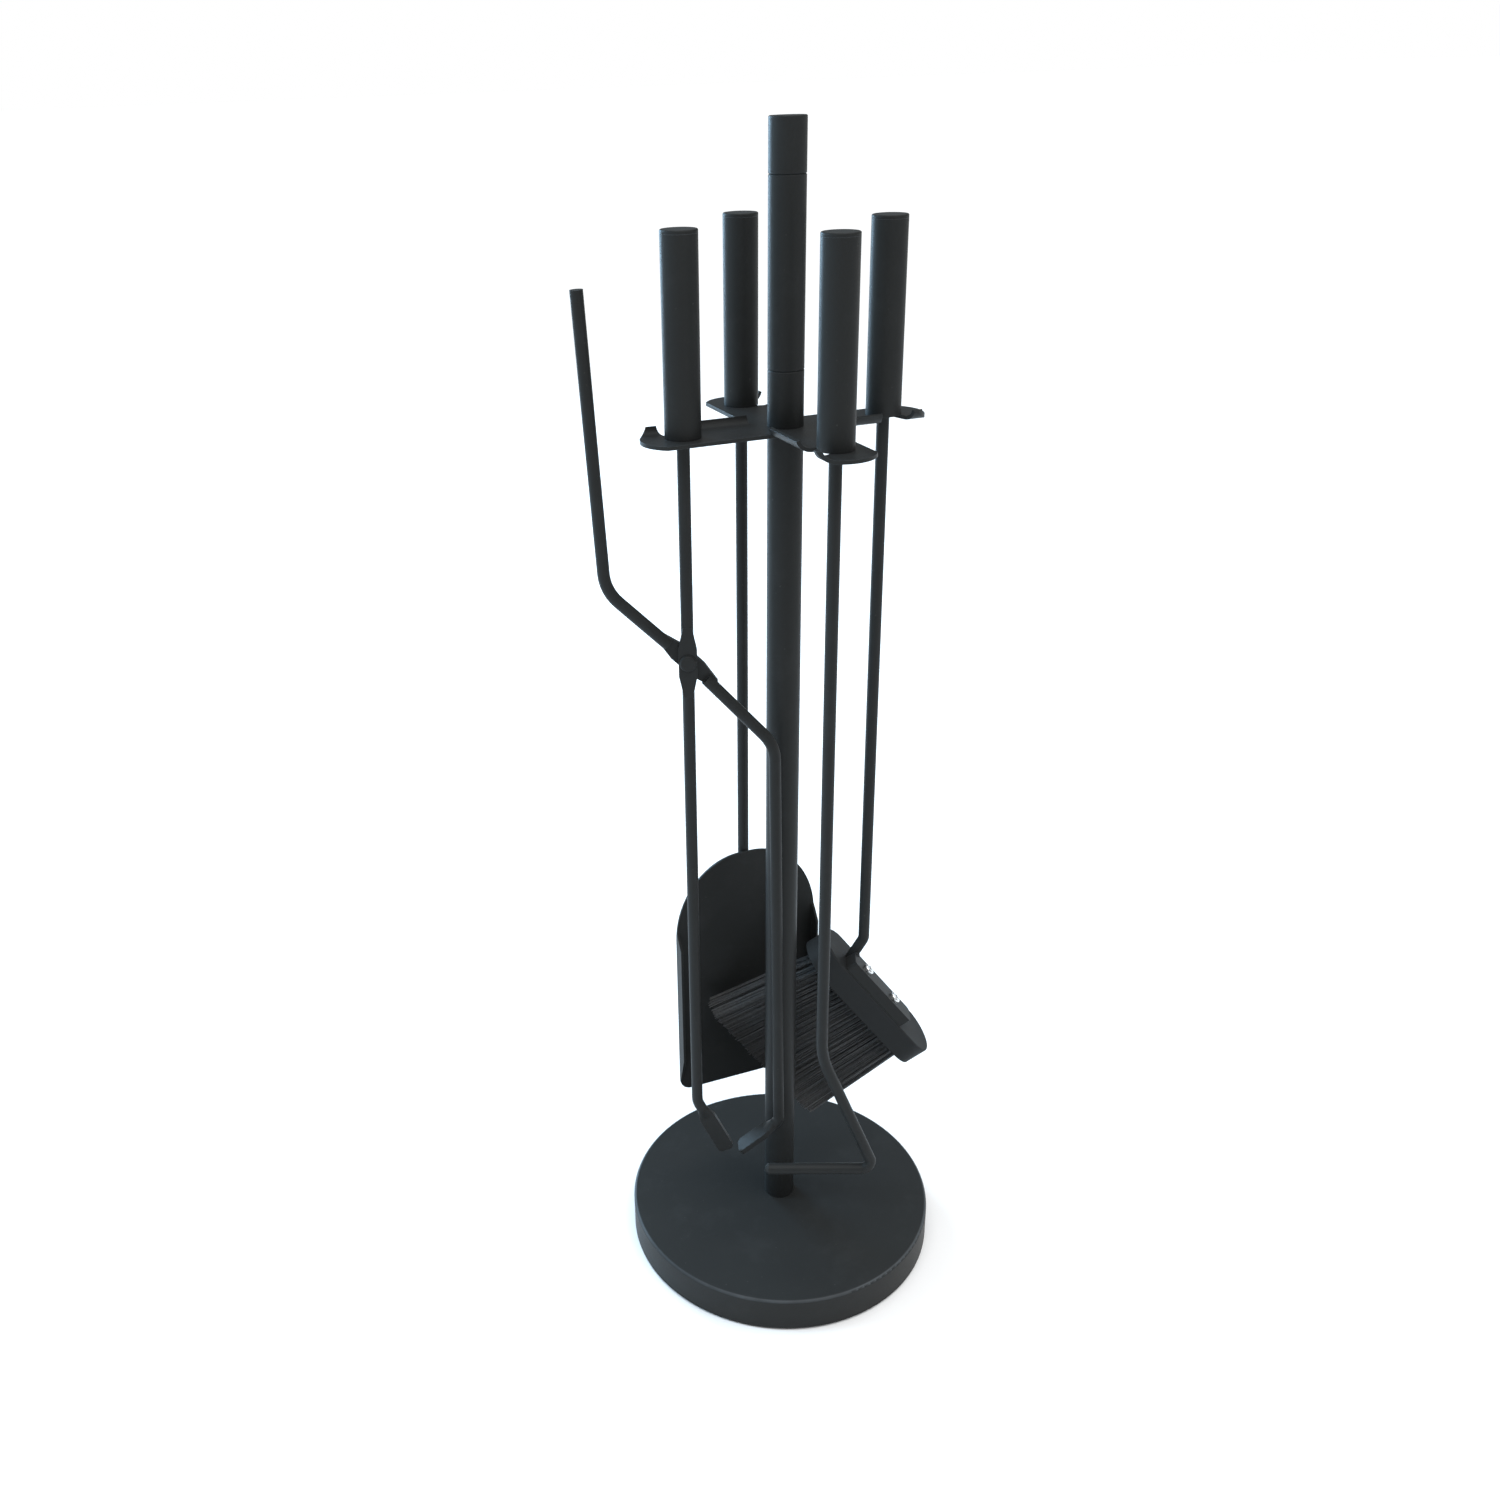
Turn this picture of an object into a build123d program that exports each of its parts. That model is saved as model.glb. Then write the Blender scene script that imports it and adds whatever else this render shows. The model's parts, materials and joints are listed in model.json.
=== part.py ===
from build123d import *
import os
from math import atan2, cos, degrees, hypot, radians, sin

# Fireplace tool set: a round base, a post, a four-armed holder plate and four tools hung on it.
# Millimetres, +Z up. The origin is the centre of the base's underside, on the post's axis.
# Seen from above, the brush hangs on the +X arm, the shovel on +Y, the tongs on -X, the poker on -Y.

# ---- driving dimensions ----

# Base.
BASE_RADIUS = 100
BASE_TOP = 24
BASE_EDGE_RADIUS = 2
PAD_THICKNESS = 1.5
PAD_RADIUS = 96
PAD_HOLE_RADIUS = 22

# Post, in sections that screw together.
POST_RADIUS = 9.75
TUBE_WALL = 1.2
TOTAL_HEIGHT = 707
SPACER_TOP = 583.5
MIDDLE_TOP = 680
POST_EDGE_RADIUS = 0.8
SEAM_DEPTH = 0.5
INSERT_LENGTH = 25
FIT_CLEARANCE = 0.05

# Screw threads are modelled as plain cylinders.
STUD_RADIUS = 4
STUD_HOLE_RADIUS = STUD_RADIUS + FIT_CLEARANCE
STUD_END_GAP = 4
CLEARANCE_HOLE_RADIUS = 4.3
BOLT_HEAD_ACROSS_FLATS = 13
BOLT_HEAD_HEIGHT = 5.3
WASHER_RADIUS = 12
WASHER_THICKNESS = 1.6
COUNTERBORE_RADIUS = 15
COUNTERBORE_DEPTH = 10

# Holder plate, pressed from sheet. Each arm is described pointing along +X, its lip on the -Y side.
PLATE_TOP = 553.5
SHEET = 2
ARM_HALF_WIDTH = 16
ARM_TIP_RADIUS = 19
ARM_TIP_CENTRE = 63
TOOL_RADIUS = 59
LIP_START = 10
LIP_BEND_RADIUS = 6.5
LIP_ANGLE = 75
SLOT_SEAT_RADIUS = 5
SLOT_MOUTH_HALF_WIDTH = 10
SLOT_MOUTH = 18

# Handles and rods, the same on all four tools.
HANDLE_RADIUS = 9.7
HANDLE_LENGTH = 104
CAP_THICKNESS = 2
CAP_SPIGOT_LENGTH = 8
HANDLE_EDGE_RADIUS = 0.8
PLUG_LENGTH = 30
ROD_RADIUS = 3.5

# Shovel pan, its open side to the front (-Y), with a flange up each straight side.
BLADE_WIDTH = 100
BLADE_BOTTOM = 83
BLADE_SHOULDER = 205
BLADE_TOP = 262
SHOULDER_WIDTH = 46
BLADE_CORNER_RADIUS = 8
BLADE_SHEET = 1.5
FLANGE_DEPTH = 7
FLANGE_RUN_OUT = 32
FLANGE_FADE = 6
ROD_OVERLAP = 36

# Brush head, leaning out from under its rod.
BRUSH_DIRECTION = -24.6
BRUSH_LEAN = 39
BRUSH_SETBACK = 12.9
BRUSH_SIDE_SHIFT = 1.9
BRUSH_TOP = 200.4
BLOCK_RADIUS = 18
BLOCK_STRAIGHT = 74.4
BLOCK_THICKNESS = 16.2
BLOCK_EDGE_RADIUS = 1
BRISTLE_RADIUS = 11.2
BRISTLE_LENGTH = 79
BRISTLE_SPLAY_UP = 12
BRISTLE_SPLAY_DOWN = 3
BRACKET_START = 2
BRACKET_LENGTH = 58
BRACKET_WIDTH = 14
BRACKET_THICKNESS = 8
BRACKET_SIDE = -10
BRACKET_CORNER_RADIUS = 2
SCREW_PLACES = (15, 43)
SCREW_RADIUS = 2
SCREW_HEAD_RADIUS = 3.8
SCREW_HEAD_HEIGHT = 2.2
SCREW_DEPTH = 12
SCREW_CLEARANCE_DEPTH = 1
CROSS_LENGTH = 4
CROSS_WIDTH = 1
CROSS_DEPTH = 1
CRANK_HEIGHT = 213
CRANK_DROP = 19
CRANK_SETBACK = 10.1
CRANK_BEND_RADIUS = 8

# Tongs: a straight arm under the handle and a second arm that crosses it at the rivet.
TONGS_ANGLE = -20
PIVOT_HEIGHT = 427
EYE_STEP = 15
EYE_LENGTH = 42
EYE_FLAT_LENGTH = 16
EYE_WIDTH = 10.4
EYE_END_WIDTH = 5
EYE_GAP = 0.15
RIVET_RADIUS = 2.5
RIVET_HEAD_RADIUS = 4.8
RIVET_HEAD_HEIGHT = 1.8
FIXED_JAW_WIDTH = 10.5
LEVER_JAW_WIDTH = 12
JAW_THICKNESS = 3.5
JAW_TIP_RADIUS = 3
JAW_SHOULDER = 8
FIXED_KNEE_RADIUS = 14
LEVER_BEND_RADIUS = 25
LEVER_KNEE_RADIUS = 7

# Poker: one bent rod, its hook turned back under it.
POKER_ANGLE = -22
POKER_BEND_HEIGHT = 178
POKER_BEND_RADIUS = 60
HOOK_BEND_RADIUS = 6
HOOK_HEIGHT = 90.5
HOOK_REACH = 35
HOOK_TIP = -34
HOOK_CHAMFER = 1.8

# ---- sizes that follow from them ----

TUBE_BORE = POST_RADIUS - TUBE_WALL
HANDLE_BORE = HANDLE_RADIUS - TUBE_WALL
PLATE_UNDERSIDE = PLATE_TOP - SHEET
HANDLE_TOP = PLATE_TOP + HANDLE_LENGTH
ROD_TOP = PLATE_TOP + PLUG_LENGTH
WASHER_TOP = PAD_THICKNESS + COUNTERBORE_DEPTH
BLADE_FRONT = TOOL_RADIUS - ROD_RADIUS - BLADE_SHEET - FLANGE_DEPTH


# ---- shared helpers ----

def disc(radius, low, high, at=(0, 0)):
    """An upright solid cylinder between two heights."""
    return Pos(at[0], at[1], (low + high) / 2) * Cylinder(radius, high - low)


def tube(radius, bore, low, high, at=(0, 0)):
    """An upright tube between two heights."""
    return disc(radius, low, high, at) - disc(bore, low, high, at)


def tool_plane(at, angle):
    """The upright plane through a tool's axis: local x runs outwards at the angle, local y is up."""
    across = (cos(radians(angle)), sin(radians(angle)), 0)
    towards = (sin(radians(angle)), -cos(radians(angle)), 0)
    return Plane(origin=(at[0], at[1], 0), x_dir=across, z_dir=towards)


def between(start, end, distance):
    """The point at a distance from start on the way to end."""
    length = hypot(end[0] - start[0], end[1] - start[1])
    share = distance / length
    return (start[0] + share * (end[0] - start[0]), start[1] + share * (end[1] - start[1]))


def bent_rod(plane, corners, bends):
    """A round rod along straight runs in the plane, with a bend radius at each inner corner."""
    if bends:
        path = plane * Wire(FilletPolyline(*corners, radius=bends).edges())
    else:
        path = plane * Wire(Line(*corners).edges())
    section = Plane(origin=path @ 0, z_dir=path % 0) * Circle(ROD_RADIUS)
    return sweep(section, path=path)


# ---- base ----

def base_pad():
    return tube(PAD_RADIUS, PAD_HOLE_RADIUS, 0, PAD_THICKNESS)


def base_disc():
    plate = disc(BASE_RADIUS, PAD_THICKNESS, BASE_TOP)
    plate = fillet(plate.edges().group_by(Axis.Z)[-1], BASE_EDGE_RADIUS)
    plate -= disc(CLEARANCE_HOLE_RADIUS, PAD_THICKNESS, BASE_TOP)
    return plate - disc(COUNTERBORE_RADIUS, PAD_THICKNESS, WASHER_TOP)


def base_washer():
    return tube(WASHER_RADIUS, CLEARANCE_HOLE_RADIUS, WASHER_TOP - WASHER_THICKNESS, WASHER_TOP)


def base_bolt():
    head_top = WASHER_TOP - WASHER_THICKNESS
    hexagon = RegularPolygon(BOLT_HEAD_ACROSS_FLATS / 2, 6, major_radius=False)
    head = Pos(0, 0, head_top - BOLT_HEAD_HEIGHT) * extrude(hexagon, BOLT_HEAD_HEIGHT)
    return head + disc(STUD_RADIUS, head_top, BASE_TOP + INSERT_LENGTH - STUD_END_GAP)


# ---- post ----

def threaded_insert(low):
    """A plug in the end of a post tube, with a hole for a stud."""
    return tube(TUBE_BORE, STUD_HOLE_RADIUS, low, low + INSERT_LENGTH)


def plate_stud():
    """Runs from the lower tube's insert, through the plate and the spacer, to the middle tube's."""
    low = PLATE_UNDERSIDE - INSERT_LENGTH + STUD_END_GAP
    return disc(STUD_RADIUS, low, SPACER_TOP + INSERT_LENGTH - STUD_END_GAP)


def seam(height):
    """The fine V-shaped ring around the post where two sections meet."""
    notch = Plane.XZ * Pos(POST_RADIUS, height) * RegularPolygon(SEAM_DEPTH, 4)
    return revolve(notch, Axis.Z)


def post_spacer():
    return tube(POST_RADIUS, STUD_HOLE_RADIUS, PLATE_TOP, SPACER_TOP) - seam(SPACER_TOP)


def post_middle_tube():
    return tube(POST_RADIUS, TUBE_BORE, SPACER_TOP, MIDDLE_TOP) - seam(SPACER_TOP) - seam(MIDDLE_TOP)


def top_stud():
    low = MIDDLE_TOP - INSERT_LENGTH + STUD_END_GAP
    return disc(STUD_RADIUS, low, TOTAL_HEIGHT - 2 * STUD_END_GAP)


def post_top_cap():
    cap = disc(POST_RADIUS, MIDDLE_TOP, TOTAL_HEIGHT)
    cap = fillet(cap.edges().group_by(Axis.Z)[-1], POST_EDGE_RADIUS)
    return cap - disc(STUD_HOLE_RADIUS, MIDDLE_TOP, TOTAL_HEIGHT - STUD_END_GAP) - seam(MIDDLE_TOP)


# ---- holder plate ----

def lipped_sheet():
    """The arm's bent sheet: flat, then curled up along its -Y side."""
    middle = PLATE_TOP - SHEET / 2
    centre = (-LIP_START, middle + LIP_BEND_RADIUS)
    end_angle = -90 - LIP_ANGLE
    top_radius = LIP_BEND_RADIUS - SHEET / 2
    bottom_radius = LIP_BEND_RADIUS + SHEET / 2
    top_arc = CenterArc(centre, top_radius, -90, -LIP_ANGLE)
    bottom_arc = CenterArc(centre, bottom_radius, end_angle, LIP_ANGLE)
    outline = [
        Line((ARM_HALF_WIDTH, PLATE_TOP), top_arc @ 0),
        top_arc,
        Line(top_arc @ 1, bottom_arc @ 0),
        bottom_arc,
        Line(bottom_arc @ 1, (ARM_HALF_WIDTH, PLATE_UNDERSIDE)),
        Line((ARM_HALF_WIDTH, PLATE_UNDERSIDE), (ARM_HALF_WIDTH, PLATE_TOP)),
    ]
    profile = make_face(Wire(outline))
    length = ARM_TIP_CENTRE + ARM_TIP_RADIUS - ARM_HALF_WIDTH
    across = Plane(origin=(ARM_HALF_WIDTH, 0, 0), x_dir=(0, 1, 0), z_dir=(1, 0, 0))
    return extrude(across * profile, length)


def arm_outline():
    """The arm in plan: a strip with a round tip, kept level with the strip's sides."""
    strip_width = ARM_HALF_WIDTH + SLOT_MOUTH
    middle_y = (ARM_HALF_WIDTH - SLOT_MOUTH) / 2
    tip = Pos(ARM_TIP_CENTRE, 0) * Circle(ARM_TIP_RADIUS)
    strip = Pos(ARM_TIP_CENTRE / 2, middle_y) * Rectangle(ARM_TIP_CENTRE, strip_width)
    band = Pos(0, middle_y) * Rectangle(4 * ARM_TIP_CENTRE, strip_width)
    return (strip + tip) & band


def slot_outline():
    """The slot in plan: a round seat for the rod, flared towards its open side."""
    mouth = Polygon(
        (TOOL_RADIUS - SLOT_SEAT_RADIUS, 0),
        (TOOL_RADIUS - SLOT_MOUTH_HALF_WIDTH, -SLOT_MOUTH),
        (TOOL_RADIUS + SLOT_MOUTH_HALF_WIDTH, -SLOT_MOUTH),
        (TOOL_RADIUS + SLOT_SEAT_RADIUS, 0),
        align=None,
    )
    return mouth + Pos(TOOL_RADIUS, 0) * Circle(SLOT_SEAT_RADIUS)


def holder_plate():
    low = PLATE_UNDERSIDE - SHEET
    depth = 2 * SHEET + LIP_BEND_RADIUS
    cutter = Pos(0, 0, low) * extrude(arm_outline() - slot_outline(), depth)
    arm = lipped_sheet() & cutter
    middle = PLATE_TOP - SHEET / 2
    plate = Pos(0, 0, middle) * Box(2 * ARM_HALF_WIDTH, 2 * ARM_HALF_WIDTH, SHEET)
    for turn in range(4):
        plate += Rot(Z=90 * turn) * arm
    return plate - disc(CLEARANCE_HOLE_RADIUS, PLATE_UNDERSIDE, PLATE_TOP)


# ---- handles ----

def handle(at):
    return tube(HANDLE_RADIUS, HANDLE_BORE, PLATE_TOP, HANDLE_TOP - CAP_THICKNESS, at)


def handle_cap(at):
    top = disc(HANDLE_RADIUS, HANDLE_TOP - CAP_THICKNESS, HANDLE_TOP, at)
    top = fillet(top.edges().group_by(Axis.Z)[-1], HANDLE_EDGE_RADIUS)
    return top + disc(HANDLE_BORE, HANDLE_TOP - CAP_SPIGOT_LENGTH, HANDLE_TOP - CAP_THICKNESS, at)


def handle_plug(at):
    return tube(HANDLE_BORE, ROD_RADIUS, PLATE_TOP, ROD_TOP, at)


# ---- shovel ----

def pan_outline(inset, bottom, corner):
    """The pan seen from the front, pulled in by the inset, with elliptical shoulders."""
    half = BLADE_WIDTH / 2 - inset
    top = BLADE_TOP - inset
    shoulder_x = BLADE_WIDTH / 2 - SHOULDER_WIDTH
    width = SHOULDER_WIDTH - inset
    height = top - BLADE_SHOULDER
    right = EllipticalCenterArc((shoulder_x, BLADE_SHOULDER), width, height, start_angle=0, arc_size=90)
    left = EllipticalCenterArc((-shoulder_x, BLADE_SHOULDER), width, height, start_angle=90, arc_size=90)
    outline = [
        right,
        Line((shoulder_x, top), (-shoulder_x, top)),
        left,
        Line((-half, BLADE_SHOULDER), (-half, bottom)),
        Line((-half, bottom), (half, bottom)),
        Line((half, bottom), (half, BLADE_SHOULDER)),
    ]
    face = make_face(Wire(outline))
    if corner:
        face = fillet(face.vertices().group_by(Axis.Y)[0], corner)
    return face


def shovel_blade():
    front = Plane(origin=(0, BLADE_FRONT, 0), x_dir=(1, 0, 0), z_dir=(0, -1, 0))
    full_outline = pan_outline(0, BLADE_BOTTOM, BLADE_CORNER_RADIUS)
    outside = extrude(front * full_outline, -FLANGE_DEPTH - BLADE_SHEET)
    below = BLADE_BOTTOM - BLADE_CORNER_RADIUS
    inside = extrude(front * pan_outline(BLADE_SHEET, below, 0), -FLANGE_DEPTH)
    run_out = Plane.YZ * Polygon(
        (BLADE_FRONT - 1, BLADE_BOTTOM),
        (BLADE_FRONT + FLANGE_DEPTH, BLADE_BOTTOM),
        (BLADE_FRONT + FLANGE_DEPTH, BLADE_BOTTOM + BLADE_CORNER_RADIUS),
        (BLADE_FRONT - 1, BLADE_BOTTOM + FLANGE_RUN_OUT),
        align=None,
    )
    above_flange = Plane.YZ * Polygon(
        (BLADE_FRONT - 1, BLADE_SHOULDER - FLANGE_FADE),
        (BLADE_FRONT + FLANGE_DEPTH, BLADE_SHOULDER + FLANGE_FADE),
        (BLADE_FRONT + FLANGE_DEPTH, BLADE_TOP + 1),
        (BLADE_FRONT - 1, BLADE_TOP + 1),
        align=None,
    )
    pan = outside - inside
    for cut in (run_out, above_flange):
        pan -= extrude(cut, BLADE_WIDTH, both=True)
    return pan


def shovel_rod():
    low = BLADE_TOP - ROD_OVERLAP
    return disc(ROD_RADIUS, low, ROD_TOP, (0, TOOL_RADIUS))


# ---- brush ----

def brush_head_plane():
    """Origin at the centre of the block's upper end, on its outer face. Local x runs down along the
    block, local y across it, and local z points out of the outer face, away from the bristles."""
    turn = radians(BRUSH_DIRECTION)
    lean = radians(BRUSH_LEAN)
    outwards = Vector(cos(turn), sin(turn), 0)
    sideways = Vector(-sin(turn), cos(turn), 0)
    down = Vector(0, 0, -1)
    origin = Vector(TOOL_RADIUS, 0, BRUSH_TOP) - outwards * BRUSH_SETBACK + sideways * BRUSH_SIDE_SHIFT
    along = outwards * sin(lean) + down * cos(lean)
    bristle_way = down * sin(lean) - outwards * cos(lean)
    return Plane(origin=origin, x_dir=along, z_dir=-bristle_way)


def stadium(radius, start=0, end=BLOCK_STRAIGHT):
    """Two round ends and a straight stretch along local x."""
    outline = SlotCenterToCenter(end - start, 2 * radius)
    return Pos((start + end) / 2, 0) * outline


def screw_holes(radius, low, high):
    hole = Pos(0, BRACKET_SIDE, (low + high) / 2) * Cylinder(radius, high - low)
    return Pos(SCREW_PLACES[0], 0) * hole + Pos(SCREW_PLACES[1], 0) * hole


def brush_block():
    block = extrude(stadium(BLOCK_RADIUS), -BLOCK_THICKNESS)
    block = fillet(block.faces().sort_by(Axis.Z)[-1].edges(), BLOCK_EDGE_RADIUS)
    block -= screw_holes(SCREW_RADIUS + FIT_CLEARANCE, -SCREW_DEPTH, 0)
    return brush_head_plane() * block


def brush_bristles():
    """The bundle's outer shape, splayed along the block towards the tips."""
    root = Pos(0, 0, -BLOCK_THICKNESS) * stadium(BRISTLE_RADIUS)
    tip_outline = stadium(BRISTLE_RADIUS, -BRISTLE_SPLAY_UP, BLOCK_STRAIGHT + BRISTLE_SPLAY_DOWN)
    tips = Pos(0, 0, -BLOCK_THICKNESS - BRISTLE_LENGTH) * tip_outline
    return brush_head_plane() * loft([root, tips])


def brush_rod():
    """Straight down, then cranked in to the bracket's upper end, and cut flush with the block."""
    plane = tool_plane((TOOL_RADIUS, 0), BRUSH_DIRECTION)
    corners = [(0, ROD_TOP), (0, CRANK_HEIGHT), (-CRANK_SETBACK, CRANK_HEIGHT - CRANK_DROP)]
    rod = bent_rod(plane, corners, [CRANK_BEND_RADIUS])
    block_box = Box(4 * BLOCK_STRAIGHT, 4 * BLOCK_RADIUS, 2 * BLOCK_THICKNESS)
    block_side = Pos(0, 0, -BLOCK_THICKNESS) * block_box
    return rod - brush_head_plane() * block_side


def brush_bracket():
    """A flat bar welded to the rod and screwed along the block."""
    bar = Box(BRACKET_LENGTH, BRACKET_WIDTH, BRACKET_THICKNESS)
    bar = fillet(bar.edges().filter_by(Axis.Z), BRACKET_CORNER_RADIUS)
    bar = Pos(BRACKET_START + BRACKET_LENGTH / 2, BRACKET_SIDE, BRACKET_THICKNESS / 2) * bar
    bar -= screw_holes(SCREW_RADIUS + FIT_CLEARANCE, 0, BRACKET_THICKNESS)
    return brush_head_plane() * bar - brush_rod()


def brush_screws():
    screws = []
    for place in SCREW_PLACES:
        head = Pos(0, 0, SCREW_HEAD_HEIGHT / 2) * Cylinder(SCREW_HEAD_RADIUS, SCREW_HEAD_HEIGHT)
        head = fillet(head.edges().group_by(Axis.Z)[-1], SCREW_HEAD_HEIGHT / 2)
        slot = Box(CROSS_LENGTH, CROSS_WIDTH, 2 * CROSS_DEPTH)
        cross = slot + Rot(Z=90) * slot
        head -= Pos(0, 0, SCREW_HEAD_HEIGHT) * cross
        shank_length = BRACKET_THICKNESS + SCREW_DEPTH - SCREW_CLEARANCE_DEPTH
        shank = Pos(0, 0, -shank_length / 2) * Cylinder(SCREW_RADIUS, shank_length)
        screws.append(brush_head_plane() * Pos(place, BRACKET_SIDE, BRACKET_THICKNESS) * (head + shank))
    return Compound(screws)


# ---- tongs ----

TONGS_PLACE = (-TOOL_RADIUS, 0)
PIVOT = (0, PIVOT_HEIGHT)
FIXED_KNEE = (0, 118)
FIXED_TIP = (19, 78)
LEVER_TOP = (-52, 630)
LEVER_UPPER_BEND = (-44.5, 470)
LEVER_LOWER_BEND = (49, 373)
LEVER_KNEE = (53, 100)
LEVER_TIP = (27.5, 78)


def eye(plane, towards, side):
    """A flattened stretch of an arm at the rivet, half the rod's thickness, on one side of the plane,
    tapering back to the round rod at both ends."""
    height = ROD_RADIUS - EYE_GAP
    angle = degrees(atan2(towards[1] - PIVOT[1], towards[0] - PIVOT[0]))
    upper_corners = [
        (EYE_LENGTH / 2, EYE_END_WIDTH / 2),
        (EYE_FLAT_LENGTH / 2, EYE_WIDTH / 2),
        (-EYE_FLAT_LENGTH / 2, EYE_WIDTH / 2),
        (-EYE_LENGTH / 2, EYE_END_WIDTH / 2),
    ]
    lower_corners = [(-x, -y) for x, y in upper_corners]
    outline = Polygon(*upper_corners, *lower_corners, align=None)
    flat = Rot(Z=angle) * extrude(outline, side * height)
    plate = Pos(PIVOT[0], PIVOT[1], side * EYE_GAP) * flat
    hole = RIVET_RADIUS if side > 0 else RIVET_RADIUS + FIT_CLEARANCE
    plate -= Pos(PIVOT[0], PIVOT[1], 0) * Cylinder(hole, 4 * ROD_RADIUS)
    return plane * plate


def jaw(plane, start, tip, faces_front, width):
    """The rod's end hammered flat: a short shoulder from round to flat, then the flat jaw. Its broad
    faces look to the front and back of the tongs' plane, or else up and down the slope."""
    run = Vector(tip[0] - start[0], tip[1] - start[1], 0).normalized()
    front = Vector(0, 0, 1)
    normal = front if faces_front else run.cross(front)
    flat_start = between(start, tip, JAW_SHOULDER)
    length = hypot(tip[0] - flat_start[0], tip[1] - flat_start[1])
    round_end = Plane(origin=(start[0], start[1], 0), x_dir=normal, z_dir=run)
    flat_end = Plane(origin=(flat_start[0], flat_start[1], 0), x_dir=normal, z_dir=run)
    shoulder = loft([round_end * Circle(ROD_RADIUS), flat_end * Rectangle(JAW_THICKNESS, width)])
    outline = Pos(length / 2, 0) * Rectangle(length, width)
    outline = fillet(outline.vertices().group_by(Axis.X)[-1], JAW_TIP_RADIUS)
    broad = Plane(origin=(flat_start[0], flat_start[1], 0), x_dir=run, z_dir=normal)
    flat = broad * Pos(0, 0, -JAW_THICKNESS / 2) * extrude(outline, JAW_THICKNESS)
    return plane * (shoulder + flat)


def tongs_fixed_arm():
    plane = tool_plane(TONGS_PLACE, TONGS_ANGLE)
    upper = bent_rod(plane, [(0, ROD_TOP), (0, PIVOT_HEIGHT + EYE_STEP)], [])
    jaw_start = between(FIXED_KNEE, FIXED_TIP, FIXED_KNEE_RADIUS / 2)
    lower = bent_rod(plane, [(0, PIVOT_HEIGHT - EYE_STEP), FIXED_KNEE, jaw_start], [FIXED_KNEE_RADIUS])
    fixed_jaw = jaw(plane, jaw_start, FIXED_TIP, True, FIXED_JAW_WIDTH)
    return upper + lower + eye(plane, (0, ROD_TOP), 1) + fixed_jaw


def tongs_moving_arm():
    plane = tool_plane(TONGS_PLACE, TONGS_ANGLE)
    upper_end = between(PIVOT, LEVER_UPPER_BEND, EYE_STEP)
    lower_start = between(PIVOT, LEVER_LOWER_BEND, EYE_STEP)
    upper = bent_rod(plane, [LEVER_TOP, LEVER_UPPER_BEND, upper_end], [LEVER_BEND_RADIUS])
    jaw_start = between(LEVER_KNEE, LEVER_TIP, LEVER_KNEE_RADIUS / 2)
    corners = [lower_start, LEVER_LOWER_BEND, LEVER_KNEE, jaw_start]
    lower = bent_rod(plane, corners, [LEVER_BEND_RADIUS, LEVER_KNEE_RADIUS])
    lever_jaw = jaw(plane, jaw_start, LEVER_TIP, False, LEVER_JAW_WIDTH)
    return upper + lower + eye(plane, LEVER_UPPER_BEND, -1) + lever_jaw


def tongs_rivet():
    """A pin through both eyes, with a domed head in front and a flat one behind."""
    plane = tool_plane(TONGS_PLACE, TONGS_ANGLE)
    front = ROD_RADIUS
    back = -ROD_RADIUS - FIT_CLEARANCE
    shank = Pos(0, 0, (front + back) / 2) * Cylinder(RIVET_RADIUS, front - back)
    head = Cylinder(RIVET_HEAD_RADIUS, RIVET_HEAD_HEIGHT)
    head = fillet(head.edges().group_by(Axis.Z)[-1], 0.8 * RIVET_HEAD_HEIGHT)
    front_head = Pos(0, 0, front + RIVET_HEAD_HEIGHT / 2) * head
    back_head = Pos(0, 0, back - RIVET_HEAD_HEIGHT / 2) * Rot(X=180) * head
    return plane * Pos(PIVOT[0], PIVOT[1], 0) * (shank + front_head + back_head)


# ---- poker ----

def poker_rod():
    plane = tool_plane((0, -TOOL_RADIUS), POKER_ANGLE)
    corners = [(0, ROD_TOP), (0, POKER_BEND_HEIGHT), (HOOK_REACH, HOOK_HEIGHT), (HOOK_TIP, HOOK_HEIGHT)]
    rod = bent_rod(plane, corners, [POKER_BEND_RADIUS, HOOK_BEND_RADIUS])
    tip = plane.from_local_coords(Vector(HOOK_TIP, HOOK_HEIGHT, 0))
    end_face = rod.faces().sort_by_distance(tip)[0]
    return chamfer(end_face.edges(), HOOK_CHAMFER)


# ---- the whole set ----

nodes = {
    "base_pad": base_pad(),
    "base_disc": base_disc(),
    "base_washer": base_washer(),
    "base_bolt": base_bolt(),
    "post_foot_insert": threaded_insert(BASE_TOP),
    "post_lower_tube": tube(POST_RADIUS, TUBE_BORE, BASE_TOP, PLATE_UNDERSIDE),
    "post_neck_insert": threaded_insert(PLATE_UNDERSIDE - INSERT_LENGTH),
    "holder_plate": holder_plate(),
    "plate_stud": plate_stud(),
    "post_spacer": post_spacer(),
    "middle_foot_insert": threaded_insert(SPACER_TOP),
    "post_middle_tube": post_middle_tube(),
    "middle_top_insert": threaded_insert(MIDDLE_TOP - INSERT_LENGTH),
    "top_stud": top_stud(),
    "post_top_cap": post_top_cap(),
    "brush_rod": brush_rod(),
    "brush_bracket": brush_bracket(),
    "brush_screws": brush_screws(),
    "brush_block": brush_block(),
    "brush_bristles": brush_bristles(),
    "shovel_rod": shovel_rod(),
    "shovel_blade": shovel_blade(),
    "tongs_fixed_arm": tongs_fixed_arm(),
    "tongs_moving_arm": tongs_moving_arm(),
    "tongs_rivet": tongs_rivet(),
    "poker_rod": poker_rod(),
}

tool_places = {
    "brush": (TOOL_RADIUS, 0),
    "shovel": (0, TOOL_RADIUS),
    "tongs": TONGS_PLACE,
    "poker": (0, -TOOL_RADIUS),
}

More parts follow.
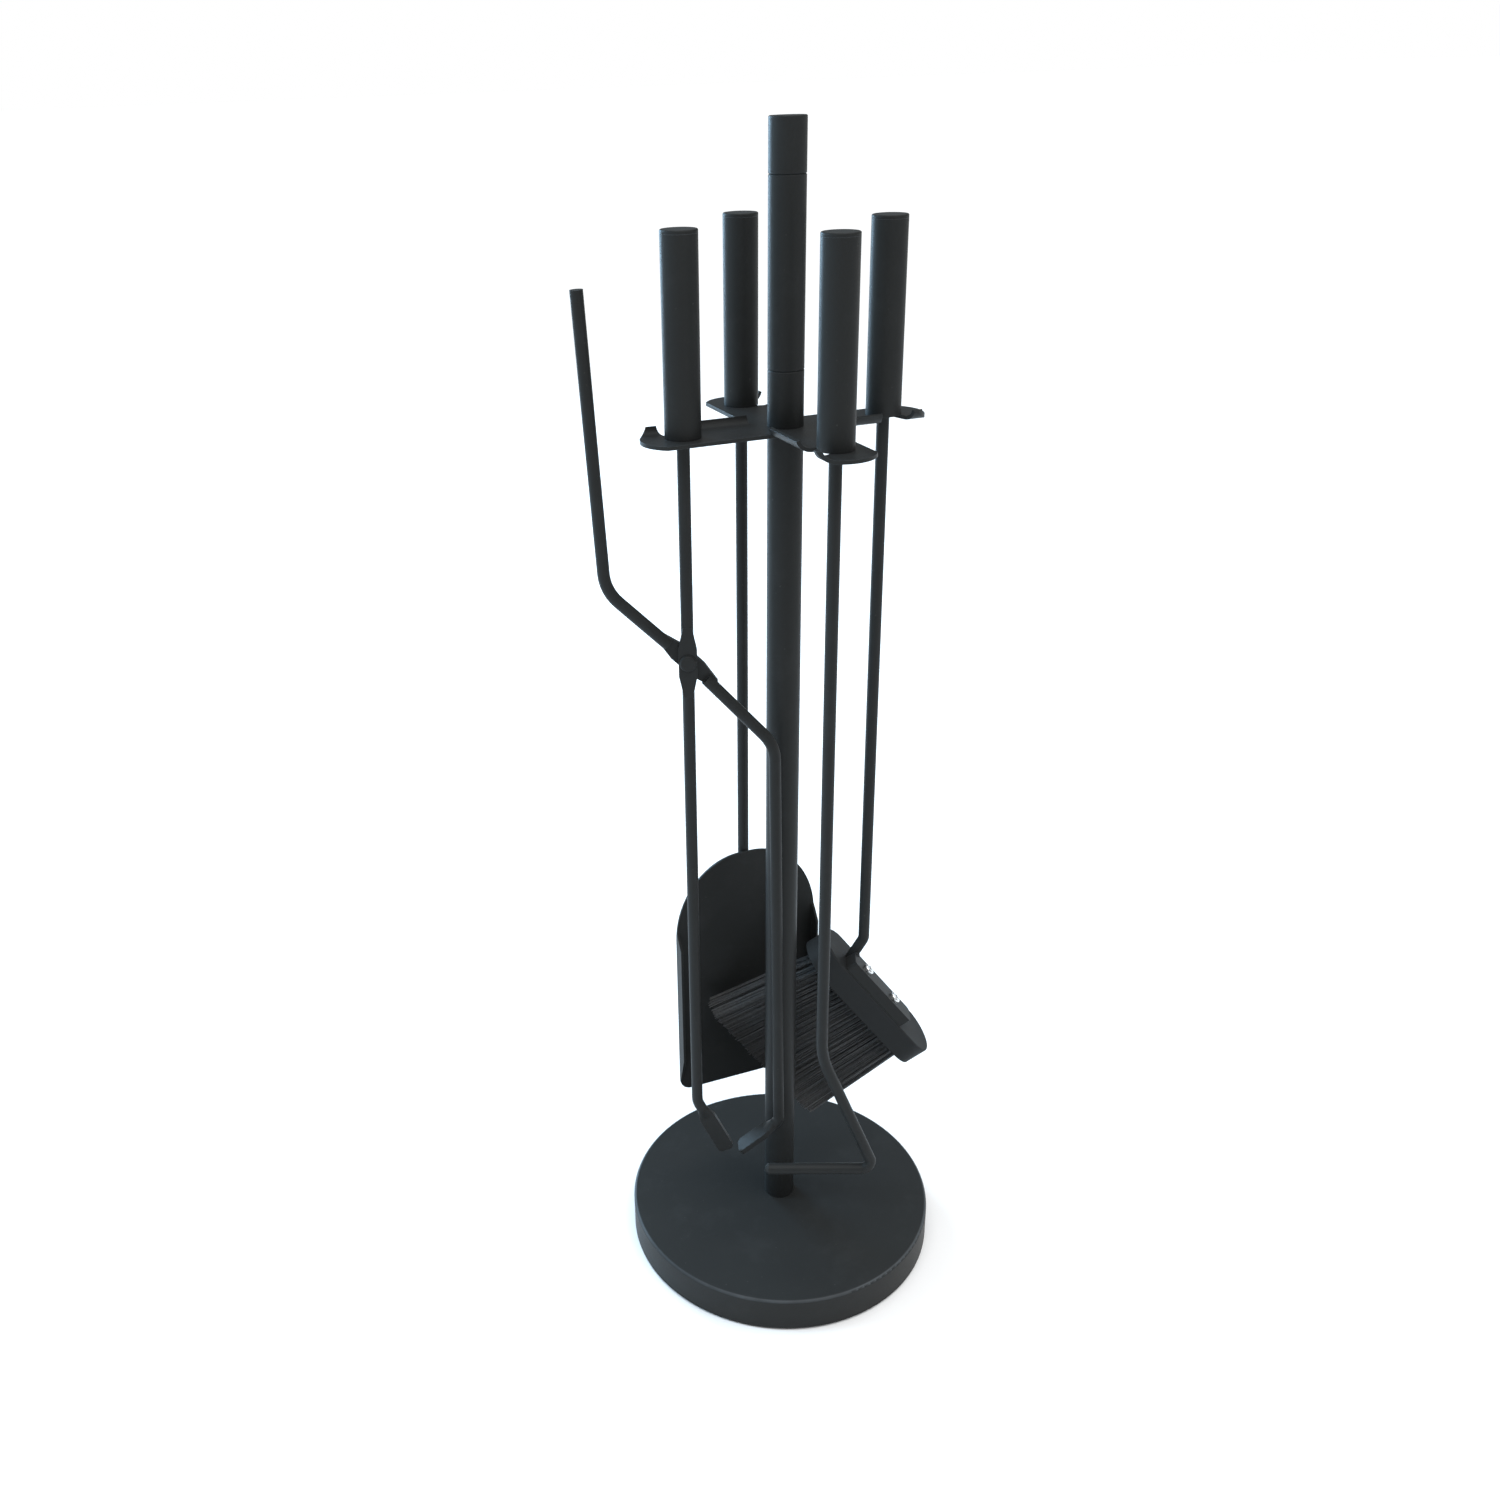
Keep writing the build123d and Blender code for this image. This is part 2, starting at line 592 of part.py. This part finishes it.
for tool, place in tool_places.items():
    nodes[tool + "_handle"] = handle(place)
    nodes[tool + "_handle_cap"] = handle_cap(place)
    nodes[tool + "_handle_plug"] = handle_plug(place)

os.makedirs("parts", exist_ok=True)
for name, shape in nodes.items():
    export_step(shape, f"parts/{name}.step")
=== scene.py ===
import json
import math
import random

import bpy
from mathutils import Matrix, Vector


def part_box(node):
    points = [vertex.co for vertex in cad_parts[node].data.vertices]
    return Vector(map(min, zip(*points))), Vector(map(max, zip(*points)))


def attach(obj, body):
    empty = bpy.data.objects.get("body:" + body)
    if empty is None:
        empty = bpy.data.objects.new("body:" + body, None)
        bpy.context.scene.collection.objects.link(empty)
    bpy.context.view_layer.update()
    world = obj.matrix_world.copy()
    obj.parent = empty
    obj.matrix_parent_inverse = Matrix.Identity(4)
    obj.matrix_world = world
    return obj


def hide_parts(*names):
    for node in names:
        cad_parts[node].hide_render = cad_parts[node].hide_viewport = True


# Fireplace tool set in matte black powder coat: materials, bristle tufts and weld beads round the
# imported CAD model, on a plain pale floor under soft studio light. Metres, in the CAD model's frame.

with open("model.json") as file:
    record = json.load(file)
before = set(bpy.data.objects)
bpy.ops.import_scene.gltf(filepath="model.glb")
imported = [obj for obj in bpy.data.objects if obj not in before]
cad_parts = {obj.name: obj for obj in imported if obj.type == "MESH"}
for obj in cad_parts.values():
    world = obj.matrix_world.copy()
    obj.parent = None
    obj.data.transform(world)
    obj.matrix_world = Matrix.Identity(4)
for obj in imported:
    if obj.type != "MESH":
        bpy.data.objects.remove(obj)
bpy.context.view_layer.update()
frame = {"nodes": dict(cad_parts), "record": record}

MM = 0.001

# Camera: where it stands, which way it looks and how far it tips, in degrees.
CAMERA_PLACE = (-0.3253, -0.6864, 0.7299)
CAMERA_TURN = 19.573
CAMERA_PITCH = -24.483
CAMERA_ROLL = -1.919
CAMERA_LENS = 34.07
CAMERA_SHIFT = (0.0652, -0.0235)
CAMERA_SENSOR = 36
CAMERA_CLIP_START = 0.01

# Brush head: the direction and lean of its block, as the CAD model has them.
BRUSH_DIRECTION = -24.6
BRUSH_LEAN = 39
BLOCK_STRAIGHT = 74.4 * MM
BLOCK_THICKNESS = 16.2 * MM
BUNDLE_RADIUS = 11.2 * MM
BRISTLE_LENGTH = 79 * MM
BRISTLE_SPLAY_UP = 12 * MM
BRISTLE_SPLAY_DOWN = 3 * MM
BRUSH_SETBACK = 12.9 * MM
BRUSH_SIDE_SHIFT = 1.9 * MM
BRUSH_TOP = 200.4 * MM

# Bristles: tufts in staggered rows, each a bunch of thin fibres that fan out and sway a little.
# The fan's least and most, and the sway, are in millimetres.
TUFT_PITCH = 3.3 * MM
TUFT_RADIUS = 1.3 * MM
TUFT_MARGIN = 0.3 * MM
FILAMENTS_PER_TUFT = 30
FILAMENT_RADIUS = 0.26 * MM
FILAMENT_STEPS = 4
FILAMENT_SIDES = 3
FILAMENT_FAN = (0.3, 0.95)
FILAMENT_SWAY = 0.45
FILAMENT_SHORTEST = 0.975
BRISTLE_SEED = 7

# Weld beads: how they ripple, and how they taper to their ends.
BEAD_SIDES = 10
BEAD_RIPPLE = 0.14
BEAD_UNEVENNESS = 0.05
BEAD_TIP = 0.12
BEAD_TAPER_STEPS = 3

# The bead on the brush's bracket: an arc on its outer face, in millimetres and degrees.
BRACKET_THICKNESS = 8 * MM
BRUSH_WELD_CENTRE = (2.5, -1.9)
BRUSH_WELD_RADIUS = 3.9
BRUSH_WELD_START = -100
BRUSH_WELD_SWEEP = 85
BRUSH_WELD_STEPS = 8
BRUSH_WELD_WIDTH = 2.2 * MM
BRUSH_WELD_SEED = 21

# The two beads on the shovel's blade: beside the rod, just proud of the blade, clear of both ends.
SHOVEL_WELD_OFFSET = 2.6 * MM
SHOVEL_WELD_LIFT = 0.6 * MM
SHOVEL_WELD_END_GAP = 1.5 * MM
SHOVEL_WELD_STEPS = 28
SHOVEL_WELD_WIDTH = 2.6 * MM
SHOVEL_WELD_SEED = 11

# Powder coat, and the base's rounded top edge, which carries a painted highlight.
BASE_EDGE_RADIUS = 2 * MM
RIM_HIGHLIGHT_START = 1.12
RIM_HIGHLIGHT_FULL = 1.38
COAT_EDGE_RADIUS = 0.35 * MM
COAT_SPECULAR = 0.11
EDGE_SAMPLES = 6

# Floor, light and backdrop.
FLOOR_REACH = 60
LIGHT_TARGET = (0, 0, 0.1)
ROOM_STRENGTH = 0.32
BACKDROP_STRENGTH = 1.0


def colour(red, green, blue):
    """An opaque colour."""
    return (red, green, blue, 1.0)


# Each finish's base colours, its darkest first.
COAT_DARK = colour(0.0170, 0.0180, 0.0180)
COAT_CLOUD = colour(0.0225, 0.0236, 0.0234)
COAT_HANDLED = colour(0.0235, 0.0247, 0.0247)
COAT_DUST = colour(0.070, 0.070, 0.066)
# The paler edge colour: part wear, part painted highlight.
COAT_WEAR_AND_HIGHLIGHT = colour(0.115, 0.128, 0.140)
BLOCK_DARK = colour(0.019, 0.0205, 0.0212)
BLOCK_CLOUD = colour(0.026, 0.0278, 0.0290)
BLOCK_SCUFF = colour(0.034, 0.036, 0.038)
BRISTLE_DARK = colour(0.060, 0.061, 0.062)
BRISTLE_PALE = colour(0.086, 0.087, 0.088)
FOAM_DARK = colour(0.012, 0.012, 0.012)
FOAM_PALE = colour(0.024, 0.024, 0.023)
FLOOR_DARK = colour(0.86, 0.86, 0.86)
FLOOR_PALE = colour(0.90, 0.90, 0.90)

# The light of the room, and the backdrop.
ROOM_TINT = colour(0.92, 0.97, 1.00)
WHITE = colour(1.0, 1.0, 1.0)


# ---- materials ----

class Shader:
    """A material's node tree, with short calls for the nodes that the finishes share."""

    # A mix node's colour sockets have the same names as its number ones, so they go by place.
    COLOUR_A = 6
    COLOUR_B = 7
    COLOUR_RESULT = 2

    def __init__(self, name):
        self.material = bpy.data.materials.new(name)
        self.material.use_nodes = True
        self.nodes = self.material.node_tree.nodes
        self.links = self.material.node_tree.links
        self.surface = self.nodes["Principled BSDF"]
        self.place = self.nodes.new("ShaderNodeTexCoord").outputs["Object"]

    def plug(self, value, socket):
        """Links an output to a socket, or sets the socket to a plain value."""
        if isinstance(value, bpy.types.NodeSocket):
            self.links.new(value, socket)
        else:
            socket.default_value = value

    def set(self, **values):
        """Sets the surface's own sockets: words joined by _ stand for the socket's name."""
        for key, value in values.items():
            self.plug(value, self.surface.inputs[key.replace("_", " ")])

    def noise(self, scale, detail=2.0, roughness=0.5, stretch=None):
        """Noise through the solid, stretched along the axes if asked."""
        node = self.nodes.new("ShaderNodeTexNoise")
        node.inputs["Scale"].default_value = scale
        node.inputs["Detail"].default_value = detail
        node.inputs["Roughness"].default_value = roughness
        source = self.place
        if stretch:
            mapping = self.nodes.new("ShaderNodeMapping")
            mapping.inputs["Scale"].default_value = stretch
            self.links.new(source, mapping.inputs["Vector"])
            source = mapping.outputs["Vector"]
        self.links.new(source, node.inputs["Vector"])
        return node.outputs["Fac"]

    def spread(self, value, low, high, to_low=0.0, to_high=1.0):
        """Maps low..high to to_low..to_high, clamped."""
        node = self.nodes.new("ShaderNodeMapRange")
        self.plug(value, node.inputs["Value"])
        node.inputs["From Min"].default_value = low
        node.inputs["From Max"].default_value = high
        node.inputs["To Min"].default_value = to_low
        node.inputs["To Max"].default_value = to_high
        return node.outputs["Result"]

    def math(self, operation, first, second=0.0):
        """The result of one sum."""
        node = self.nodes.new("ShaderNodeMath")
        node.operation = operation
        self.plug(first, node.inputs[0])
        self.plug(second, node.inputs[1])
        return node.outputs["Value"]

    def blend(self, factor, first, second):
        """A colour between two colours."""
        node = self.nodes.new("ShaderNodeMix")
        node.data_type = "RGBA"
        self.plug(factor, node.inputs["Factor"])
        self.plug(first, node.inputs[self.COLOUR_A])
        self.plug(second, node.inputs[self.COLOUR_B])
        return node.outputs[self.COLOUR_RESULT]

    def soft_edges(self, radius):
        """The surface normal with its sharp edges rounded."""
        node = self.nodes.new("ShaderNodeBevel")
        node.samples = EDGE_SAMPLES
        node.inputs["Radius"].default_value = radius
        return node.outputs["Normal"]

    def edges(self, rounded):
        """1 on sharp edges, 0 on open surface."""
        geometry = self.nodes.new("ShaderNodeNewGeometry")
        dot = self.nodes.new("ShaderNodeVectorMath")
        dot.operation = "DOT_PRODUCT"
        self.links.new(rounded, dot.inputs[0])
        self.links.new(geometry.outputs["True Normal"], dot.inputs[1])
        return self.spread(dot.outputs["Value"], 0.99, 0.8)

    def relief(self, height, distance, strength, normal=None):
        """The surface normal with a fine relief, laid over another normal if there is one."""
        node = self.nodes.new("ShaderNodeBump")
        node.inputs["Strength"].default_value = strength
        node.inputs["Distance"].default_value = distance
        self.links.new(height, node.inputs["Height"])
        if normal:
            self.links.new(normal, node.inputs["Normal"])
        return node.outputs["Normal"]


def rim_highlight(shader, top, radius, fillet):
    """Painted highlight along the middle of a disc's rounded top edge: 1 there, 0 elsewhere."""
    split = shader.nodes.new("ShaderNodeSeparateXYZ")
    shader.links.new(shader.place, split.inputs["Vector"])
    across = shader.math("POWER", split.outputs["X"], 2.0)
    along = shader.math("POWER", split.outputs["Y"], 2.0)
    distance = shader.math("SQRT", shader.math("ADD", across, along))
    outward = shader.math("SUBTRACT", distance, radius - fillet)
    upward = shader.math("SUBTRACT", split.outputs["Z"], top - fillet)
    stands_out = shader.math("ADD", outward, upward)
    return shader.spread(stands_out, RIM_HIGHLIGHT_START * fillet, RIM_HIGHLIGHT_FULL * fillet)


def powder_coat(name, rim=None):
    """Matte black powder coat: orange peel, faint clouds, dust specks, paler edges that are part wear
    and part painted highlight, and a painted highlight along the rim if one is given.
    """
    shader = Shader(name)
    clouds = shader.noise(14, detail=4, roughness=0.6)
    peel = shader.noise(1500, detail=3, roughness=0.55)
    specks = shader.spread(shader.noise(420, detail=1), 0.76, 0.82)
    handling = shader.spread(shader.noise(38, detail=6, roughness=0.7), 0.52, 0.72)
    black = shader.blend(clouds, COAT_DARK, COAT_CLOUD)
    handled = shader.blend(handling, black, COAT_HANDLED)
    rounded = shader.soft_edges(COAT_EDGE_RADIUS)
    edges = shader.edges(rounded)
    if rim:
        # A painted highlight along the base's rim, added to the edges' mask.
        edges = shader.math("MAXIMUM", edges, rim_highlight(shader, *rim))
    # Paler edges: part wear, part painted highlight.
    wear_and_highlight = shader.math("MULTIPLY", edges, shader.spread(clouds, 0.25, 0.60))
    edged = shader.blend(shader.math("MULTIPLY", wear_and_highlight, 0.5), handled, COAT_WEAR_AND_HIGHLIGHT)
    dusty = shader.blend(shader.math("MULTIPLY", specks, 0.3), edged, COAT_DUST)
    roughness = shader.spread(handling, 0.0, 1.0, 0.45, 0.49)
    grained = shader.math("ADD", roughness, shader.spread(peel, 0.3, 0.7, -0.04, 0.05))
    shader.set(Base_Color=dusty, Roughness=grained, Specular_IOR_Level=COAT_SPECULAR)
    shader.set(Normal=shader.relief(peel, 0.05 * MM, 0.55, rounded))
    return shader.material


def block_plastic(name):
    """Moulded satin black, with a fine grain and faint upright scuffs."""
    shader = Shader(name)
    clouds = shader.noise(22, detail=3)
    grain = shader.noise(1600, detail=2)
    scuffs = shader.spread(shader.noise(90, detail=5, stretch=(1, 1, 0.15)), 0.6, 0.75)
    black = shader.blend(clouds, BLOCK_DARK, BLOCK_CLOUD)
    scuffed = shader.blend(shader.math("MULTIPLY", scuffs, 0.4), black, BLOCK_SCUFF)
    rounded = shader.soft_edges(0.5 * MM)
    shader.set(Base_Color=scuffed, Specular_IOR_Level=0.08)
    shader.set(Roughness=shader.spread(clouds, 0.3, 0.7, 0.54, 0.62))
    shader.set(Normal=shader.relief(grain, 0.02 * MM, 0.5, rounded))
    return shader.material


def bristle_fibre(name):
    """Black synthetic bristle, its shade and gloss a little uneven from fibre to fibre."""
    shader = Shader(name)
    fibres = shader.noise(700, detail=1)
    along = shader.noise(60, detail=2)
    paler = shader.spread(fibres, 0.35, 0.65)
    black = shader.blend(paler, BRISTLE_DARK, BRISTLE_PALE)
    shader.set(Base_Color=black, Specular_IOR_Level=0.3)
    shader.set(Roughness=shader.spread(along, 0.3, 0.7, 0.45, 0.65))
    return shader.material


def plated_steel(name, bright, roughness):
    """Zinc-plated steel with fine upright marks."""
    shader = Shader(name)
    marks = shader.noise(900, detail=4, stretch=(1, 1, 0.2))
    clouds = shader.noise(120, detail=3)
    low = colour(bright * 0.75, bright * 0.76, bright * 0.78)
    high = colour(bright, bright, bright * 0.98)
    shader.set(Base_Color=shader.blend(clouds, low, high), Metallic=1.0)
    shader.set(Roughness=shader.spread(marks, 0.3, 0.7, roughness - 0.08, roughness + 0.08))
    shader.set(Normal=shader.relief(marks, 0.02 * MM, 0.4))
    return shader.material


def foam_pad(name):
    """Matte black foam rubber with open pores."""
    shader = Shader(name)
    pores = shader.noise(1400, detail=2)
    clouds = shader.noise(40, detail=3)
    shader.set(Base_Color=shader.blend(clouds, FOAM_DARK, FOAM_PALE))
    shader.set(Roughness=shader.spread(pores, 0.3, 0.7, 0.8, 0.95), Specular_IOR_Level=0.25)
    shader.set(Normal=shader.relief(pores, 0.15 * MM, 0.7))
    return shader.material


def pale_floor(name):
    """Plain matte white, faintly mottled."""
    shader = Shader(name)
    mottle = shader.noise(6, detail=4)
    shader.set(Base_Color=shader.blend(mottle, FLOOR_DARK, FLOOR_PALE))
    shader.set(Roughness=shader.spread(mottle, 0.3, 0.7, 0.75, 0.85), Specular_IOR_Level=0.1)
    return shader.material


finishes = {
    "black_coat": powder_coat("black_coat"),
    "plain_steel": plated_steel("plain_steel", bright=0.60, roughness=0.38),
    "screws": plated_steel("screws", bright=0.92, roughness=0.26),
    "pad": foam_pad("pad"),
    "brush_block": block_plastic("brush_block"),
    "bristles": bristle_fibre("bristles"),
}


def dress_cad_nodes():
    """Gives every CAD node the finish of its material slot, and the base its own coat with a painted
    highlight along its rim.
    """
    _, base_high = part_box("base_disc")
    base_coat = powder_coat("base_coat", rim=(base_high.z, base_high.x, BASE_EDGE_RADIUS))
    slot_of = {part["node"]: part["material_slot"] for part in frame["record"]["subparts"]}
    for name, node in frame["nodes"].items():
        finish = base_coat if name == "base_disc" else finishes[slot_of[name]]
        if not node.material_slots:
            node.data.materials.append(finish)
        for holder in node.material_slots:
            holder.material = finish


# ---- pieces made here ----

def mesh_piece(name, vertices, faces, finish, body):
    """A smooth-shaded mesh with one finish, riding on a body."""
    mesh = bpy.data.meshes.new(name)
    mesh.from_pydata(vertices, [], faces)
    mesh.validate()
    for face in mesh.polygons:
        face.use_smooth = True
    piece = bpy.data.objects.new(name, mesh)
    bpy.context.scene.collection.objects.link(piece)
    mesh.materials.append(finishes[finish])
    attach(piece, body)
    return piece


def brush_axes():
    """The block's frame: origin at its upper end on the outer face, then along, across and out."""
    turn = math.radians(BRUSH_DIRECTION)
    lean = math.radians(BRUSH_LEAN)
    outwards = Vector((math.cos(turn), math.sin(turn), 0))
    down = Vector((0, 0, -1))
    low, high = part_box("brush_handle")
    rod = Vector(((low.x + high.x) / 2, (low.y + high.y) / 2, BRUSH_TOP))
    sideways = Vector((-math.sin(turn), math.cos(turn), 0))
    origin = rod - outwards * BRUSH_SETBACK + sideways * BRUSH_SIDE_SHIFT
    along = outwards * math.sin(lean) + down * math.cos(lean)
    out = outwards * math.cos(lean) - down * math.sin(lean)
    across = out.cross(along)
    return origin, along, across, out


def tuft_places():
    """Tuft centres in rows over the stadium, staggered from row to row."""
    reach = BUNDLE_RADIUS - TUFT_RADIUS - TUFT_MARGIN
    row_step = TUFT_PITCH * math.sqrt(3) / 2
    rows = int(reach / row_step)
    places = []
    for row in range(-rows, rows + 1):
        across = row * row_step
        overhang = math.sqrt(reach * reach - across * across)
        length = BLOCK_STRAIGHT + 2 * overhang
        count = int(length / TUFT_PITCH)
        start = BLOCK_STRAIGHT / 2 - count * TUFT_PITCH / 2
        shift = TUFT_PITCH / 4 * (1 if row % 2 else -1)
        for step in range(count + 1):
            along = start + step * TUFT_PITCH + shift
            if -overhang <= along <= BLOCK_STRAIGHT + overhang:
                places.append((along, across))
    return places


def filament(dice, along, across):
    """One fibre's centre line in the block's frame, from the block's face to its cut tip."""
    angle = dice.uniform(0, 2 * math.pi)
    reach = TUFT_RADIUS * math.sqrt(dice.random())
    root = (along + reach * math.cos(angle), across + reach * math.sin(angle))
    fan = dice.uniform(*FILAMENT_FAN) * MM
    sway = (dice.gauss(0, FILAMENT_SWAY) * MM, dice.gauss(0, FILAMENT_SWAY) * MM)
    length = BRISTLE_LENGTH * dice.uniform(FILAMENT_SHORTEST, 1.0)
    splay = (BRISTLE_SPLAY_UP + BRISTLE_SPLAY_DOWN) * along / BLOCK_STRAIGHT - BRISTLE_SPLAY_UP
    points = []
    for step in range(FILAMENT_STEPS + 1):
        share = step / FILAMENT_STEPS
        bend = share * share
        u = root[0] + splay * share + fan * math.cos(angle) * share + sway[0] * bend
        v = root[1] + fan * math.sin(angle) * share + sway[1] * bend
        points.append((u, v, -BLOCK_THICKNESS - length * share))
    return points


def bristle_tufts():
    """Every fibre of the brush as a thin three-sided rod, in one mesh."""
    dice = random.Random(BRISTLE_SEED)
    origin, along, across, out = brush_axes()
    vertices = []
    faces = []
    corners = [2 * math.pi * side / FILAMENT_SIDES for side in range(FILAMENT_SIDES)]
    for place in tuft_places():
        for _ in range(FILAMENTS_PER_TUFT):
            first = len(vertices)
            for u, v, w in filament(dice, *place):
                for corner in corners:
                    du = FILAMENT_RADIUS * math.cos(corner)
                    dv = FILAMENT_RADIUS * math.sin(corner)
                    vertices.append(origin + along * (u + du) + across * (v + dv) + out * w)
            for step in range(FILAMENT_STEPS):
                for side in range(FILAMENT_SIDES):
                    a = first + step * FILAMENT_SIDES + side
                    b = first + step * FILAMENT_SIDES + (side + 1) % FILAMENT_SIDES
                    faces.append((a, a + FILAMENT_SIDES, b + FILAMENT_SIDES, b))
            last = first + FILAMENT_STEPS * FILAMENT_SIDES
            faces.append(tuple(last + side for side in range(FILAMENT_SIDES)))
            faces.append(tuple(first + side for side in reversed(range(FILAMENT_SIDES))))
    tufts = mesh_piece("bristle_tufts", vertices, faces, "bristles", "brush")
    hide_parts("brush_bristles")


def weld_bead(name, points, width, body, seed):
    """A rippled weld bead along a line of points, rounded at both ends."""
    dice = random.Random(seed)
    vertices = []
    faces = []
    count = len(points)
    for index, point in enumerate(points):
        ahead = points[min(index + 1, count - 1)] - points[max(index - 1, 0)]
        ahead.normalize()
        side_way = ahead.orthogonal().normalized()
        up_way = ahead.cross(side_way)
        from_end = min(index, count - 1 - index)
        fullness = min(1.0, BEAD_TIP + (1 - BEAD_TIP) * from_end / BEAD_TAPER_STEPS)
        end = math.sin(math.pi * fullness / 2)
        unevenness = dice.uniform(-BEAD_UNEVENNESS, BEAD_UNEVENNESS)
        ripple = 1.0 + BEAD_RIPPLE * math.sin(index * math.pi / 2) + unevenness
        for side in range(BEAD_SIDES):
            angle = 2 * math.pi * side / BEAD_SIDES
            spoke = side_way * math.cos(angle) + up_way * math.sin(angle)
            vertices.append(point + spoke * width / 2 * end * ripple)
    for index in range(count - 1):
        for side in range(BEAD_SIDES):
            a = index * BEAD_SIDES + side
            b = index * BEAD_SIDES + (side + 1) % BEAD_SIDES
            faces.append((a, b, b + BEAD_SIDES, a + BEAD_SIDES))
    last = (count - 1) * BEAD_SIDES
    faces.append(tuple(reversed(range(BEAD_SIDES))))
    faces.append(tuple(last + side for side in range(BEAD_SIDES)))
    mesh_piece(name, vertices, faces, "black_coat", body)


def brush_weld():
    """A short curved bead where the rod meets the bracket's outer face."""
    origin, along, across, out = brush_axes()
    line = []
    for step in range(BRUSH_WELD_STEPS + 1):
        angle = math.radians(BRUSH_WELD_START + BRUSH_WELD_SWEEP * step / BRUSH_WELD_STEPS)
        u = (BRUSH_WELD_CENTRE[0] + BRUSH_WELD_RADIUS * math.cos(angle)) * MM
        v = (BRUSH_WELD_CENTRE[1] + BRUSH_WELD_RADIUS * math.sin(angle)) * MM
        line.append(origin + along * u + across * v + out * BRACKET_THICKNESS)
    weld_bead("brush_weld", line, BRUSH_WELD_WIDTH, "brush", BRUSH_WELD_SEED)


def shovel_welds():
    """Two beads up the back of the blade, one on each side of the rod."""
    rod_low, rod_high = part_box("shovel_rod")
    _, blade_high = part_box("shovel_blade")
    middle = (rod_low.x + rod_high.x) / 2
    y = blade_high.y + SHOVEL_WELD_LIFT
    top = blade_high.z - SHOVEL_WELD_END_GAP
    bottom = rod_low.z + SHOVEL_WELD_END_GAP
    for side, name in ((-1, "shovel_weld_left"), (1, "shovel_weld_right")):
        x = middle + side * SHOVEL_WELD_OFFSET
        line = []
        for step in range(SHOVEL_WELD_STEPS + 1):
            z = bottom + (top - bottom) * step / SHOVEL_WELD_STEPS
            line.append(Vector((x, y, z)))
        weld_bead(name, line, SHOVEL_WELD_WIDTH, "shovel", SHOVEL_WELD_SEED + side)


# ---- floor, light and camera ----

def floor():
    """A level square, far wider than the camera's view."""
    far = FLOOR_REACH
    mesh = bpy.data.meshes.new("floor")
    corners = [(-far, -far, 0), (far, -far, 0), (far, far, 0), (-far, far, 0)]
    mesh.from_pydata(corners, [], [(0, 1, 2, 3)])
    mesh.materials.append(pale_floor("pale_floor"))
    ground = bpy.data.objects.new("floor", mesh)
    bpy.context.scene.collection.objects.link(ground)


def soft_light(name, place, size, power, tint):
    """A tinted panel, like a window, that lights the object but isn't seen itself."""
    lamp = bpy.data.lights.new(name, "AREA")
    lamp.shape = "RECTANGLE"
    lamp.size, lamp.size_y = size
    lamp.energy = power
    lamp.color = tint
    holder = bpy.data.objects.new(name, lamp)
    holder.location = place
    facing = Vector(LIGHT_TARGET) - Vector(place)
    holder.rotation_euler = facing.to_track_quat("-Z", "Y").to_euler()
    holder.visible_camera = False
    bpy.context.scene.collection.objects.link(holder)


def soft_sun(name, direction, strength, softness):
    """An even light from far off, so that the whole floor is equally bright."""
    lamp = bpy.data.lights.new(name, "SUN")
    lamp.energy = strength
    lamp.angle = math.radians(softness)
    holder = bpy.data.objects.new(name, lamp)
    holder.rotation_euler = Vector(direction).to_track_quat("-Z", "Y").to_euler()
    bpy.context.scene.collection.objects.link(holder)


def studio_world():
    """A white backdrop for the camera, and a dimmer, cooler room that lights the object."""
    world = bpy.data.worlds.new("studio")
    world.use_nodes = True
    bpy.context.scene.world = world
    nodes = world.node_tree.nodes
    links = world.node_tree.links
    room = nodes["Background"]
    room.inputs["Color"].default_value = ROOM_TINT
    room.inputs["Strength"].default_value = ROOM_STRENGTH
    backdrop = nodes.new("ShaderNodeBackground")
    backdrop.inputs["Color"].default_value = WHITE
    backdrop.inputs["Strength"].default_value = BACKDROP_STRENGTH
    path = nodes.new("ShaderNodeLightPath")
    switch = nodes.new("ShaderNodeMixShader")
    links.new(path.outputs["Is Camera Ray"], switch.inputs["Fac"])
    links.new(room.outputs["Background"], switch.inputs[1])
    links.new(backdrop.outputs["Background"], switch.inputs[2])
    links.new(switch.outputs["Shader"], nodes["World Output"].inputs["Surface"])


def camera():
    """The camera, turned, pitched and rolled as its angles say."""
    turn = math.radians(CAMERA_TURN)
    pitch = math.radians(CAMERA_PITCH)
    roll = math.radians(CAMERA_ROLL)
    level = Vector((math.sin(turn), math.cos(turn), 0)) * math.cos(pitch)
    forward = level + Vector((0, 0, math.sin(pitch)))
    right = forward.cross(Vector((0, 0, 1))).normalized()
    up = right.cross(forward)
    tipped_right = right * math.cos(roll) + up * math.sin(roll)
    tipped_up = up * math.cos(roll) - right * math.sin(roll)
    lens = bpy.data.cameras.new("camera")
    lens.lens = CAMERA_LENS
    lens.sensor_width = CAMERA_SENSOR
    lens.shift_x, lens.shift_y = CAMERA_SHIFT
    lens.clip_start = CAMERA_CLIP_START
    holder = bpy.data.objects.new("camera", lens)
    turned = Matrix((tipped_right, tipped_up, -forward)).transposed().to_4x4()
    holder.matrix_world = Matrix.Translation(CAMERA_PLACE) @ turned
    bpy.context.scene.collection.objects.link(holder)
    bpy.context.scene.camera = holder


def lights():
    """A broad light from above, and two cool windows to the left and behind."""
    soft_sun("overhead", direction=(-0.1, 0.25, -1), strength=3.0, softness=70)
    soft_light(
        "left_window",
        place=(-1.9, 0.8, 1.4),
        size=(0.7, 1.4),
        power=34,
        tint=(0.52, 0.78, 1.0),
    )
    soft_light(
        "back_window",
        place=(-0.75, 2.4, 0.95),
        size=(1.0, 1.5),
        power=80,
        tint=(0.46, 0.74, 1.0),
    )


dress_cad_nodes()
bristle_tufts()
brush_weld()
shovel_welds()
floor()
lights()
studio_world()
camera()
bpy.context.scene.view_settings.view_transform = "Standard"
